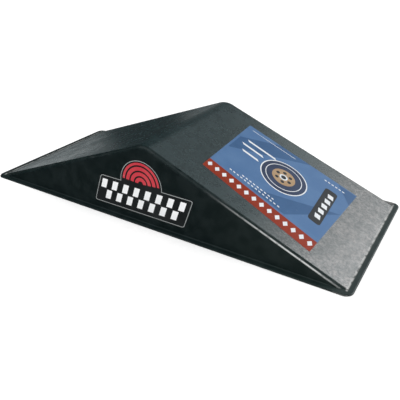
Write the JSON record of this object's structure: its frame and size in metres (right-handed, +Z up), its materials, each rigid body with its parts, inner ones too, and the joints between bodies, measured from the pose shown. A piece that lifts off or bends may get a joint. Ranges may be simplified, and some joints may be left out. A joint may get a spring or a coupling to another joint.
{
  "type": "spine ramp",
  "caption": "Low plastic skate ramp with two straight decks back to back over a rounded spine, a flat rim, panels and rubber feet inside, a label and side decals.",
  "frame": {"origin": "on the ground under the middle of the spine", "axes": "+X along the ride towards the deck with the label, +Y across the ramp, +Z up"},
  "size_m": [1, 0.436, 0.194],
  "materials": {
    "shell_plastic": "moulded, finely textured, semi-matt black",
    "panel_plastic": "moulded, matt black",
    "foot_rubber": "moulded, matt black",
    "screw_steel": "zinc plated",
    "label_vinyl": "printed vinyl, satin",
    "decal_vinyl": "printed vinyl, satin"
  },
  "bodies": {
    "root": {"ramp_shell": "shell_plastic", "spine_bulkhead": "panel_plastic", "left_inner_rib": "panel_plastic", "left_middle_rib": "panel_plastic", "left_outer_rib": "panel_plastic", "right_inner_rib": "panel_plastic", "right_middle_rib": "panel_plastic", "right_outer_rib": "panel_plastic", "centre_keel": "panel_plastic", "spine_near_foot": "foot_rubber", "spine_near_foot_screw": "screw_steel", "spine_far_foot": "foot_rubber", "spine_far_foot_screw": "screw_steel", "left_middle_near_foot": "foot_rubber", "left_middle_near_foot_screw": "screw_steel", "left_middle_far_foot": "foot_rubber", "left_middle_far_foot_screw": "screw_steel", "left_outer_near_foot": "foot_rubber", "left_outer_near_foot_screw": "screw_steel", "left_outer_far_foot": "foot_rubber", "left_outer_far_foot_screw": "screw_steel", "right_middle_near_foot": "foot_rubber", "right_middle_near_foot_screw": "screw_steel", "right_middle_far_foot": "foot_rubber", "right_middle_far_foot_screw": "screw_steel", "right_outer_near_foot": "foot_rubber", "right_outer_near_foot_screw": "screw_steel", "right_outer_far_foot": "foot_rubber", "right_outer_far_foot_screw": "screw_steel", "deck_label": "label_vinyl", "near_side_decal": "decal_vinyl", "far_side_decal": "decal_vinyl"}
  },
  "joints": []
}
